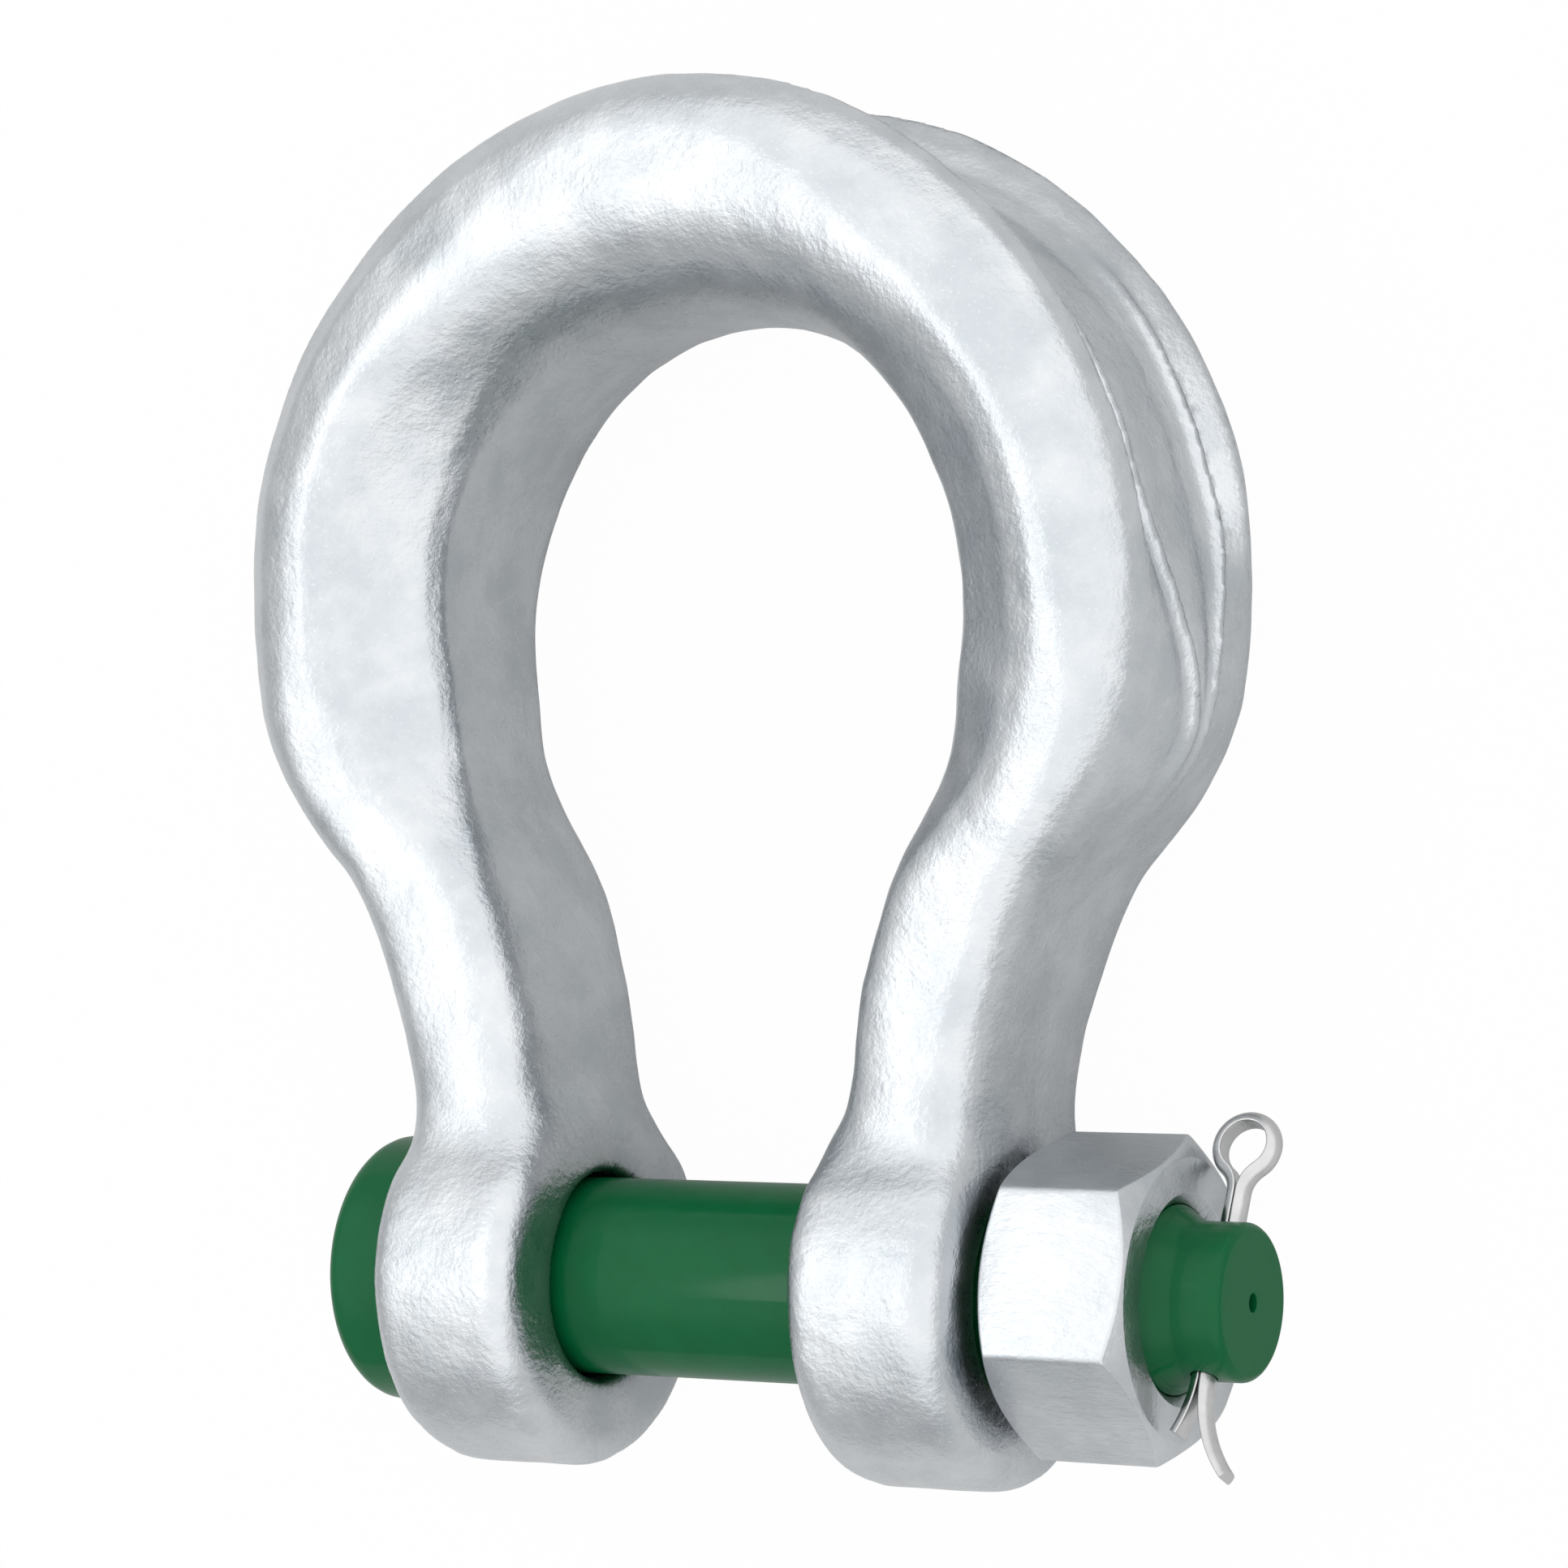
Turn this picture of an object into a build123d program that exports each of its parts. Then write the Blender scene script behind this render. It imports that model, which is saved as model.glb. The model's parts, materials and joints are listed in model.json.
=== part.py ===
from build123d import *
import os
from math import atan2, cos, degrees, hypot, pi, radians, sin, sqrt, tan

# A bolt-type wide-body bow shackle: forged bow, headed pin, heavy hex nut and split pin.
# Millimetres. X runs along the pin towards the nut, Y from the pin towards the crown,
# Z across the body of the bow. The origin is on the pin's axis, midway between the ears.
# The shackle lies on its side, on the crown's lip and the ears' rims.

# Pin and clearances
pin_diameter = 57.0
pin_head_diameter = 78.5
pin_head_thickness = 25.5
pin_head_rounding = 6.0
head_seat_gap = 0.3
eye_clearance = 1.5
thread_diameter = 52.0
thread_chamfer = 1.6
thread_relief = 0.25
thread_runout = 3.0
stub_diameter = 43.5
stub_length = 20.0
stub_rounding = 3.0
stub_cone_length = 5.0
stub_cone_diameter = 49.0
cone_setback = 1.0
centre_drill_diameter = 5.2
centre_drill_depth = 5.0

# Ears
inside_gap = 88.0
ear_thickness = 50.0
ear_diameter = 111.0
ear_rounding = 8.4
eye_rim_chamfer = 2.4

# Nut
nut_end_gap = 4.0
nut_across_flats = 80.0
nut_thickness = 44.0
nut_chamfer_angle = 30.0
nut_face_share = 0.97
nut_turn = -13.0
nut_bore_chamfer = 3.0

# Split pin
split_pin_diameter = 7.0
split_hole_clearance = 0.4
split_hole_from_end = 10.5
split_pin_turn = 25.0
split_leg_gap = 0.2
split_eye_radius = 10.2
split_eye_neck_radius = 10.0
split_eye_top = 55.4
leg_bend_clearance = 0.3
short_leg_drop = 16.8
short_leg_spread = 3.6
long_leg_drop = 28.5
long_leg_spread = 11.2

# Path of the bow: a large arc over the crown, a reversed arc at each neck, then upright legs
bow_mid_radius = 115.5
bow_centre_height = 193.0
neck_slope = 31.0
leg_mid_offset = 71.5

# Section of the bow at the crown, at its sides and in the legs
crown_outer_offset = 33.8
side_outer_offset = 31.7
crown_inner_offset = 33.5
side_inner_offset = 29.4
leg_half_thickness = 22.0
crown_half_width = 56.4
leg_half_width = 38.0
crown_lip_radius = 17.5
leg_corner_radius = 12.5
lip_fullness = 1.75
saddle_fullness = 2.2
leg_fullness = 5.2
crown_widest_level = 5.5
leg_widest_level = 9.5

# Channel over the back of the bow: its floor narrows to a point at each side, between two ribs.
# The ribs climb out of the channel as they come together, and run on as one spine to the leg.
rib_spread_crown = 27.0
rib_spread_side = 23.5
rib_sink_crown = 10.8
rib_sink_side = 3.8
rib_height = 4.4
rib_foot_width = 5.0
rib_foot_drop = 1.8
floor_share = 0.6
floor_edge_rise = 0.1
spine_half_width = 3.5
spine_rise = 5.6

# Turns from the crown, in degrees, over which the section's features change
crown_to_side = (0, 58)
width_change = (45, 150)
edge_change = (85, 122)
side_to_leg = (100, 128)
saddle_to_flat = (95, 140)
rib_gather = (35, 75)
rib_climb = (10, 70)
rib_foot_start = (40, 70)
ribs_meet = (78, 106)
spine_climb = (74, 106)
spine_end = (106, 120)
floor_close = (80, 104)

# Points along the lip and the saddle of half a section, and sections along half the bow
lip_points = 4
saddle_points = 9
section_count = 18
spacing_turn = 88

# Shoulders where the legs run out into the ears
shoulder_radius = 20.0
shoulder_undercut = 1.0

pin_radius = pin_diameter / 2
ear_radius = ear_diameter / 2
eye_radius = pin_radius + eye_clearance
ear_inner_x = inside_gap / 2
ear_outer_x = ear_inner_x + ear_thickness
nut_inner_x = ear_outer_x + nut_end_gap
nut_outer_x = nut_inner_x + nut_thickness
stub_end_x = nut_outer_x + stub_length
split_hole_x = stub_end_x - split_hole_from_end

# Lengths along the middle line of the right half, measured from the crown
arc_end = bow_mid_radius * radians(90 + neck_slope)
neck_foot_x = bow_mid_radius * cos(radians(neck_slope))
neck_radius = (neck_foot_x - leg_mid_offset) / (1 - cos(radians(neck_slope)))
neck_end = arc_end + neck_radius * radians(neck_slope)
neck_centre_x = leg_mid_offset + neck_radius
neck_centre_y = bow_centre_height - (bow_mid_radius + neck_radius) * sin(radians(neck_slope))

# A shoulder's fillet touches the leg's side at its start and the ear's rim at its foot
shoulder_target = ear_radius - shoulder_undercut
shoulder_reach = leg_half_width + shoulder_radius
shoulder_start = sqrt((shoulder_target + shoulder_radius) ** 2 - shoulder_reach ** 2)
shoulder_foot = shoulder_start * shoulder_target / (shoulder_target + shoulder_radius)
leg_foot = neck_end + neck_centre_y - shoulder_foot


def ease(span, value):
    """Smooth rise from 0 at the span's start to 1 at its end."""
    start, end = span
    t = min(1.0, max(0.0, (value - start) / (end - start)))
    return t * t * (3 - 2 * t)


def mix(first, last, share):
    return first + (last - first) * share


def path_point(length):
    """Point of the right half's middle line and its outward direction, as x, y pairs."""
    if length <= arc_end:
        angle = length / bow_mid_radius
        outward = (sin(angle), cos(angle))
        return (bow_mid_radius * outward[0], bow_centre_height + bow_mid_radius * outward[1]), outward
    angle = max(0.0, radians(neck_slope) - (length - arc_end) / neck_radius)
    outward = (cos(angle), -sin(angle))
    below = max(0.0, length - neck_end)
    point = (neck_centre_x - neck_radius * outward[0], neck_centre_y - neck_radius * outward[1] - below)
    return point, outward


def shoulder_spread(height):
    """How far a leg's side stands out beyond the leg, in the fillet that meets the ear's rim."""
    drop = max(0.0, shoulder_start - height)
    return shoulder_radius - sqrt(shoulder_radius ** 2 - drop ** 2)


def back_points(turn, outer, crest):
    """Outer side from the middle to a lip's crest: channel floor, rib, rib's foot, lip."""
    apart = 1 - ease(ribs_meet, turn)
    spread = mix(rib_spread_crown, rib_spread_side, ease(rib_gather, turn)) * apart
    spread += spine_half_width * (1 - apart)
    sink = mix(rib_sink_crown, rib_sink_side, ease(rib_climb, turn))
    spine_left = 1 - ease(spine_end, turn)
    rib = outer + mix(-sink, spine_rise, ease(spine_climb, turn)) * spine_left
    floor = rib - rib_height * (1 - ease(floor_close, turn))
    foot = mix(mix(rib, outer, 0.5), rib - rib_foot_drop * spine_left, ease(rib_foot_start, turn))
    corners = [(mix(floor, rib, floor_edge_rise), spread * floor_share), (rib, spread)]
    corners += [(foot, spread + rib_foot_width), (outer, crest)]
    points = [(floor, 0.0), (floor, spread * floor_share / 2), corners[0]]
    for start, end in zip(corners, corners[1:]):
        points += [(mix(start[0], end[0], 0.5), mix(start[1], end[1], 0.5)), end]
    return points


def superellipse(reach, width, power, count):
    """Points round a quarter of a superellipse after its start, as (outward, across) distances."""
    angles = [pi / 2 * step / count for step in range(1, count + 1)]
    return [(reach * max(0.0, cos(a)) ** (2 / power), width * sin(a) ** (2 / power)) for a in angles]


def section_outline(length):
    """Outline of the bow's section as (outward, across) pairs, all the way round."""
    turn = degrees(length / bow_mid_radius)
    to_side = ease(crown_to_side, turn)
    to_leg = ease(side_to_leg, turn)
    to_edge = ease(edge_change, turn)
    outer = mix(mix(crown_outer_offset, side_outer_offset, to_side), leg_half_thickness, to_leg)
    inner = mix(mix(crown_inner_offset, side_inner_offset, to_side), leg_half_thickness, to_leg)
    width = mix(crown_half_width, leg_half_width, ease(width_change, turn))
    if length > arc_end:
        width += shoulder_spread(path_point(length)[0][1])
    lip = mix(crown_lip_radius, leg_corner_radius, to_edge)
    level = mix(crown_widest_level, leg_widest_level, to_edge)
    lip_power = mix(lip_fullness, 2.0, to_leg)
    saddle_power = mix(saddle_fullness, leg_fullness, ease(saddle_to_flat, turn))
    half = back_points(turn, outer, width - lip)
    half += [(outer - lip + n, width - lip + z) for n, z in superellipse(lip, lip, lip_power, lip_points)]
    saddle = superellipse(width, inner + level, saddle_power, saddle_points)
    half += [(level - depth, across) for across, depth in saddle]
    return half + [(n, -z) for n, z in reversed(half[1:-1])]


def section_spacing():
    """Shares of the way round at which the points lie, taken from one section for all of them."""
    points = section_outline(bow_mid_radius * radians(spacing_turn))
    reached = [0.0]
    for start, end in zip(points, points[1:] + points[:1]):
        reached.append(reached[-1] + hypot(end[0] - start[0], end[1] - start[1]))
    return [length / reached[-1] for length in reached]


def section_wire(length, side):
    (x, y), outward = path_point(length)
    outline = section_outline(length)
    points = [Vector(side * (x + n * outward[0]), y + n * outward[1], z) for n, z in outline]
    return Wire([Edge.make_spline(points, periodic=True, parameters=section_spacing())])


def turned(profile):
    """Solid of revolution about the pin's axis from a closed profile drawn in x and radius."""
    return revolve(profile, Axis.X, 360)


def ear(side):
    """Ring of the ear, with a rounded rim and a chamfered eye."""
    middle = (ear_inner_x + ear_outer_x) / 2
    height = ear_radius - eye_radius
    ring = Plane.XY * Pos(side * middle, eye_radius + height / 2) * Rectangle(ear_thickness, height)
    ring = fillet(ring.vertices().group_by(Axis.Y)[-1], ear_rounding)
    ring = chamfer(ring.vertices().group_by(Axis.Y)[0], eye_rim_chamfer)
    return turned(ring)


def make_bow():
    """Loft over the crown from foot to foot, with an ear at each foot."""
    lengths = [leg_foot * step / section_count for step in range(section_count + 1)]
    left = [section_wire(length, -1) for length in reversed(lengths[1:])]
    right = [section_wire(length, 1) for length in lengths]
    body = Solid.make_loft(left + right)
    return body.fuse(ear(-1), ear(1))


def make_pin():
    """Headed pin: head, shank, threaded end, reduced stub with its cross hole and centre drill."""
    head_inner_x = -ear_outer_x - head_seat_gap
    head_outer_x = head_inner_x - pin_head_thickness
    thread_radius = thread_diameter / 2
    stub_radius = stub_diameter / 2
    thread_start_x = ear_outer_x - thread_runout
    cone_start_x = nut_outer_x - cone_setback
    outline = [
        (head_outer_x, 0), (head_outer_x, pin_head_diameter / 2),
        (head_inner_x, pin_head_diameter / 2), (head_inner_x, pin_radius),
        (thread_start_x - thread_chamfer, pin_radius), (thread_start_x, thread_radius),
        (cone_start_x - thread_chamfer, thread_radius), (cone_start_x, stub_cone_diameter / 2),
        (cone_start_x + stub_cone_length, stub_radius), (stub_end_x, stub_radius), (stub_end_x, 0),
    ]
    profile = make_face(Polyline(*outline, close=True))
    head_corner = [v for v in profile.vertices() if abs(v.X - head_outer_x) < 1e-6 and v.Y > 1]
    profile = fillet(head_corner, pin_head_rounding)
    end_corner = [v for v in profile.vertices() if abs(v.X - stub_end_x) < 1e-6 and v.Y > 1]
    profile = fillet(end_corner, stub_rounding)
    pin = turned(profile)
    hole_radius = split_pin_diameter / 2 + split_hole_clearance
    hole = split_pin_place() * Rot(90, 0, 0) * Cylinder(hole_radius, stub_diameter * 2)
    drill_radius = centre_drill_diameter / 2
    drill = Polyline((stub_end_x + 1, 0), (stub_end_x + 1, drill_radius),
                     (stub_end_x - centre_drill_depth + drill_radius, drill_radius),
                     (stub_end_x - centre_drill_depth, 0), close=True)
    return pin - hole - turned(make_face(drill))


def split_pin_place():
    """Place of the split pin: its hole's centre, with its own Y along the hole."""
    return Pos(split_hole_x, 0, 0) * Rot(-split_pin_turn, 0, 0)


def make_nut():
    """Heavy hexagon nut, chamfered at both ends, with a countersunk bore."""
    apothem = nut_across_flats / 2
    hexagon = Rot(0, 0, nut_turn) * RegularPolygon(apothem, 6, major_radius=False)
    blank = extrude(Plane.YZ.offset(nut_inner_x) * hexagon, nut_thickness)
    corner = apothem / cos(pi / 6)
    face_radius = apothem * nut_face_share
    cut_length = (corner + 1 - face_radius) * tan(radians(nut_chamfer_angle))
    bore = thread_diameter / 2 + thread_relief
    outline = [
        (nut_inner_x, bore + nut_bore_chamfer), (nut_inner_x, face_radius),
        (nut_inner_x + cut_length, corner + 1), (nut_outer_x - cut_length, corner + 1),
        (nut_outer_x, face_radius), (nut_outer_x, bore + nut_bore_chamfer),
        (nut_outer_x - nut_bore_chamfer, bore), (nut_inner_x + nut_bore_chamfer, bore),
    ]
    return blank & turned(make_face(Polyline(*outline, close=True)))


def make_split_pin():
    """Half-round wire bent into an eye, with both legs through the stub and spread below it."""
    wire_radius = split_pin_diameter / 2 - split_leg_gap / 2
    side = split_leg_gap / 2
    eye = split_eye_radius - wire_radius
    eye_centre = split_eye_top - split_eye_radius
    neck = split_eye_neck_radius
    neck_rise = sqrt((neck + eye) ** 2 - (neck + side) ** 2)
    neck_start = eye_centre - neck_rise
    meet = eye / (neck + eye)
    meet_x = (neck + side) * meet
    meet_y = eye_centre - neck_rise * meet
    bend = -(stub_diameter / 2 + leg_bend_clearance)
    turn = atan2(neck_rise, neck + side)
    neck_mid = ((side + neck) - neck * cos(turn / 2), neck_start + neck * sin(turn / 2))

    def leg_arc(sign, spread, drop):
        """Arc that leaves the hole's line at the bend and ends spread from it."""
        radius = (spread ** 2 + drop ** 2) / (2 * spread)
        sweep_angle = 2 * atan2(spread, drop)
        middle = (sign * (side + radius * (1 - cos(sweep_angle / 2))), bend - radius * sin(sweep_angle / 2))
        return (sign * side, bend), middle, (sign * (side + spread), bend - drop)

    long_start, long_mid, long_end = leg_arc(1, long_leg_spread, long_leg_drop)
    short_start, short_mid, short_end = leg_arc(-1, short_leg_spread, short_leg_drop)
    route = Wire([
        Edge.make_three_point_arc(long_end, long_mid, long_start),
        Edge.make_line(long_start, (side, neck_start)),
        Edge.make_three_point_arc((side, neck_start), neck_mid, (meet_x, meet_y)),
        Edge.make_three_point_arc((meet_x, meet_y), (0, eye_centre + eye), (-meet_x, meet_y)),
        Edge.make_three_point_arc((-meet_x, meet_y), (-neck_mid[0], neck_mid[1]), (-side, neck_start)),
        Edge.make_line((-side, neck_start), short_start),
        Edge.make_three_point_arc(short_start, short_mid, short_end),
    ])
    start = Plane(origin=route @ 0, x_dir=(0, 0, 1), z_dir=route % 0)
    upper_half = Pos(0, wire_radius) * Rectangle(3 * wire_radius, 2 * wire_radius)
    half_round = start * (Circle(wire_radius) & upper_half)
    return split_pin_place() * sweep(half_round, route)


os.makedirs("parts", exist_ok=True)
export_step(make_bow(), "parts/bow.step")
export_step(make_pin(), "parts/pin.step")
export_step(make_nut(), "parts/nut.step")
export_step(make_split_pin(), "parts/split_pin.step")
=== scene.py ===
# %% [markdown]
# # A wide body shackle
# A shackle is a forged bow closed by a pin. This one is made for slings: its body is wide and rounded,
# so that a rope bends gently round it. The bow is dipped in molten zinc, the pin is painted green, and a
# heavy nut with a split pin keeps the pin in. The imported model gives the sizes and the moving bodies. This
# script dresses it: each cell below makes one piece or one finish, in the model's own frame. Blender's unit
# is the metre. Sizes are written in millimetres, and MM turns them into metres.

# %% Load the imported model
import json
from math import acos, atan2, cos, degrees, pi, radians, sin, sqrt, tan

import bmesh
import bpy
import numpy as np
from mathutils import Matrix, Vector, noise
from mathutils.bvhtree import BVHTree


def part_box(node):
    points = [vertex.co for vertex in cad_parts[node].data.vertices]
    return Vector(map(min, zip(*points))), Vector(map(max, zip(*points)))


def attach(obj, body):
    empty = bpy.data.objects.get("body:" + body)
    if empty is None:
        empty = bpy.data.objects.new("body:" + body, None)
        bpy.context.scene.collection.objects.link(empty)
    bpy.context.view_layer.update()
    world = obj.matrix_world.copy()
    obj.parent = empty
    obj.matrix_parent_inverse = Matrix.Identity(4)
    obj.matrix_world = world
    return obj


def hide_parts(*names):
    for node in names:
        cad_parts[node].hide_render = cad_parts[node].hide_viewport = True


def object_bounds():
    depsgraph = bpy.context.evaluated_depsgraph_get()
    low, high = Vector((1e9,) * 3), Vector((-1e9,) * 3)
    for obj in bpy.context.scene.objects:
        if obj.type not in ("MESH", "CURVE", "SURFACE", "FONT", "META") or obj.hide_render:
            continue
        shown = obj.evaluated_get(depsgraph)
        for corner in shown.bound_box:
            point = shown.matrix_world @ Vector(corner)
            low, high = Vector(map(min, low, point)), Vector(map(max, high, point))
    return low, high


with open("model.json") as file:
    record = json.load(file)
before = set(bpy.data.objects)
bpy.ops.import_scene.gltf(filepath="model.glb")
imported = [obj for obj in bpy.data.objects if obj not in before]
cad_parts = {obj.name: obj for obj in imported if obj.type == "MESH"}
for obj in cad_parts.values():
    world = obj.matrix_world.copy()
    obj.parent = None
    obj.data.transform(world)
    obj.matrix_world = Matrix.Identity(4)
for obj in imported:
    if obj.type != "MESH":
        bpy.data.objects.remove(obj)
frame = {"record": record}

MM = 0.001
model_box = [list(corner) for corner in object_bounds()]
print("the model's box", model_box)

# %% [markdown]
# ## The sizes that the pieces share
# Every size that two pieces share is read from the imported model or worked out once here. A rounding is the
# radius of a rounded corner, and the eye is the hole in an ear.
#
# The pin's axis is the X axis, the crown of the bow is towards +Y, and the shackle lies on its side, so
# +Z is up and across the wide body.

# %% Shared sizes
mounts = {mount["name"]: mount for mount in frame["record"]["mounts"]}
pin_radius = mounts["load_pin"]["dims"]["r_mm"]
pin_low, pin_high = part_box("pin")
nut_low, nut_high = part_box("nut")
ear_radius = 55.5
ear_outer_x = 94.0
ear_inner_x = 44.0
eye_clearance = 1.5
eye_radius = pin_radius + eye_clearance
ear_rounding = 8.4
eye_rounding = 2.6
stub_end_x = pin_high.x / MM
head_outer_x = pin_low.x / MM
nut_inner_x = nut_low.x / MM
nut_outer_x = nut_high.x / MM
print("pin from", round(head_outer_x, 1), "to", round(stub_end_x, 1), "nut from", nut_inner_x, "to", nut_outer_x)

# %% [markdown]
# ## Meshes from rows of points
# Most pieces here are a grid of points: rows along the piece and columns round it. One helper turns such
# a grid into a mesh, closed round the rows and either capped or closed at its ends. Quads from a regular
# grid shade more smoothly than any triangles a solid modeller writes.

# %% A mesh from a grid of points
def grid_piece(name, rows, ring=False):
    """Object from rows of points in millimetres, each row closed. A ring joins its last row to its first."""
    rows = np.asarray(rows, float)
    count, around = rows.shape[:2]
    index = np.arange(count * around).reshape(count, around)
    following = np.roll(index, -1, axis=0) if ring else index[1:]
    this = index if ring else index[:-1]
    quads = np.stack([this, np.roll(this, -1, 1), np.roll(following, -1, 1), following], -1)
    quads = quads.reshape(-1, 4).tolist()
    if not ring:
        quads += [index[0][::-1].tolist(), index[-1].tolist()]
    mesh = bpy.data.meshes.new(name)
    mesh.from_pydata((rows.reshape(-1, 3) * MM).tolist(), [], quads)
    mesh.update()
    piece = bpy.data.objects.new(name, mesh)
    bpy.context.scene.collection.objects.link(piece)
    return piece


def smooth_shaded(piece):
    """The piece with every face shaded smooth."""
    piece.data.polygons.foreach_set("use_smooth", [True] * len(piece.data.polygons))
    return piece


def facing_out(piece):
    """Turns the faces outward where the grid was written inside out."""
    mesh = piece.data
    outward_share = sum(face.center.dot(face.normal) * face.area for face in mesh.polygons)
    if outward_share < 0:
        mesh.flip_normals()
    return piece


def baked(piece):
    """The piece with its modifiers applied."""
    evaluated = piece.evaluated_get(bpy.context.evaluated_depsgraph_get())
    mesh = bpy.data.meshes.new_from_object(evaluated)
    piece.modifiers.clear()
    piece.data = mesh
    return piece


print("mesh helpers ready")

# %% [markdown]
# ## The bow's middle line and its changing section
# The bow was forged from a round bar: a large arc over the crown, a reversed arc at each neck, then the
# legs. What makes this shackle is that its section changes all the way. At the crown it is a wide saddle
# with a channel over its back. Towards the sides the channel narrows between two ribs, which climb, meet in
# a V and run on as one spine, and the legs are nearly square. So the section is written as a law: give it a
# length along the middle line, and it gives the outline. A skin over many such sections makes the body.
#
# The middle line comes first. A place on it is told by its length from the crown, and by its turn, which is
# that length as an angle of the large arc in degrees: 0 at the crown, 90 at the sides.

# %% The middle line
bow_mid_radius = 115.5
bow_centre_height = 193.0
neck_slope = radians(31.0)
leg_mid_offset = 71.5
arc_end = bow_mid_radius * (pi / 2 + neck_slope)
neck_radius = (bow_mid_radius * cos(neck_slope) - leg_mid_offset) / (1 - cos(neck_slope))
neck_end = arc_end + neck_radius * neck_slope
neck_centre_y = bow_centre_height - (bow_mid_radius + neck_radius) * sin(neck_slope)
leg_half_width = 38.0
shoulder_radius = 20.0
rim_radius = ear_radius - 1
shoulder_start = sqrt((rim_radius + shoulder_radius) ** 2 - (leg_half_width + shoulder_radius) ** 2)
shoulder_foot = shoulder_start * rim_radius / (rim_radius + shoulder_radius)
leg_foot = neck_end + neck_centre_y - shoulder_foot


def ease(span, value):
    """Smooth rise from 0 at the span's start to 1 at its end."""
    t = np.clip((value - span[0]) / (span[1] - span[0]), 0, 1)
    return t * t * (3 - 2 * t)


def mix(first, last, share):
    """A value that lies a share of the way from the first to the last."""
    return first + (last - first) * share


def path_point(length):
    """Middle line of the right half: its point and its outward direction."""
    if length <= arc_end:
        angle = length / bow_mid_radius
        outward = np.array([sin(angle), cos(angle)])
        return bow_mid_radius * outward + (0, bow_centre_height), outward
    angle = max(0.0, neck_slope - (length - arc_end) / neck_radius)
    outward = np.array([cos(angle), -sin(angle)])
    centre = np.array([leg_mid_offset + neck_radius, neck_centre_y])
    return centre - neck_radius * outward - (0, max(0.0, length - neck_end)), outward


print("the leg's foot is", round(leg_foot, 1), "mm along from the crown")

# %% [markdown]
# ## The ribs on the back
# The back is written by its few corners: the channel's floor, the rib's crest, the rib's foot and the lip.
# Cutting the corners twice gives a smooth line that still has crisp crests, because each corner is first
# held by two points close beside it. Every pair of turns below says where along the bow a change begins and
# where it is complete. The sink is how far a rib's crest lies below the lips, and past the sides it rises
# above them instead.

# %% The back's outline
crown_spread, side_spread, spine_spread = 27.0, 23.5, 3.5
ribs_meet = (78, 106)
spine_ends = (106, 120)
crown_sink, side_sink, rib_rise = 10.8, 3.8, 5.6
rib_height = 4.4
groove_turns = (35, 65), (98, 116)
groove_depth, crest_width, groove_width = 2.3, 2.4, 7.5


def rib_spread(turn):
    """Distance of a rib from the middle plane."""
    apart = 1 - ease(ribs_meet, turn)
    return mix(crown_spread, side_spread, ease((35, 75), turn)) * apart + spine_spread * (1 - apart)


def back_corners(turn, outer, crest):
    """Corners of the back from its middle to a lip's crest, as outward and across distances."""
    spread, spine_left = rib_spread(turn), 1 - ease(spine_ends, turn)
    sink = mix(crown_sink, side_sink, ease((10, 70), turn))
    rib = outer + mix(-sink, rib_rise, ease((74, 106), turn)) * spine_left
    floor = rib - rib_height * (1 - ease((80, 104), turn))
    foot = mix(mix(rib, outer, 0.5), rib - 1.8 * spine_left, ease((40, 70), turn))
    return [(floor, 0.0), (floor, spread * 0.6), (rib, spread), (foot, spread + 5), (outer, crest)]


def softened(corners, hold=0.22):
    """Line through corners with each corner rounded a little."""
    line = [corners[0]]
    for start, end in zip(corners, corners[1:]):
        start_point, end_point = np.array(start), np.array(end)
        line += [tuple(mix(start_point, end_point, share)) for share in (hold, 0.5, 1 - hold)] + [end]
    line = np.array(line, float)
    for _ in range(2):
        inner = np.stack([mix(line[:-1], line[1:], 0.25), mix(line[:-1], line[1:], 0.75)], 1).reshape(-1, 2)
        line = np.vstack([line[:1], inner, line[-1:]])
    return line


def rib_groove(turn, across):
    """Depth of the shallow grooves that run along both sides of a rib and sharpen its crest."""
    aside = across - rib_spread(turn)
    depth = groove_depth * ease(groove_turns[0], turn) * (1 - ease(groove_turns[1], turn))
    return depth * (1 - np.exp(-(aside / crest_width) ** 2)) * np.exp(-(aside / groove_width) ** 2)


print("points over half the back", len(softened(back_corners(turn=0, outer=33.8, crest=39))))

# %% [markdown]
# ## The section, from the lip to the inside
# From the lip's crest a quarter of a rounded curve goes to the section's widest place, and a second one goes
# from there to the middle of the inside. A power above 2 makes such a curve squarer. Two forms of the real
# forging are mixed in where it has them: the lip has a crisp outer edge between the crown and the sides, and
# the sides have a bevel towards the inside.
#
# Outer and inner say how far the section reaches from the middle line. The lip's size is the radius of its
# rounding, and the level is how far outward its widest place lies. The crisp corners are told by how far they
# lie below the lip's crest and inside its widest place.

# %% The section law
crown_half_width = 56.4
crown_outer, side_outer, leg_outer = 33.8, 31.7, 22.0
crown_inner, side_inner, leg_inner = 33.5, 29.4, 22.0
crown_lip, leg_lip = 17.5, 12.5
crown_level, leg_level = 5.5, 9.5
to_side_turns, to_leg_turns, to_edge_turns, narrowing_turns = (0, 58), (100, 128), (85, 122), (45, 150)
crisp_starts, crisp_weakens, crisp_ends = (5, 40), (48, 78), (85, 112)
bevel_starts, bevel_ends = (30, 70), (112, 140)
crisp_loss, bevel_share = 0.55, 0.85
crisp_crest = 20
crisp_corners = (2.2, 11.5), (11.7, 4.2)


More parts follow.
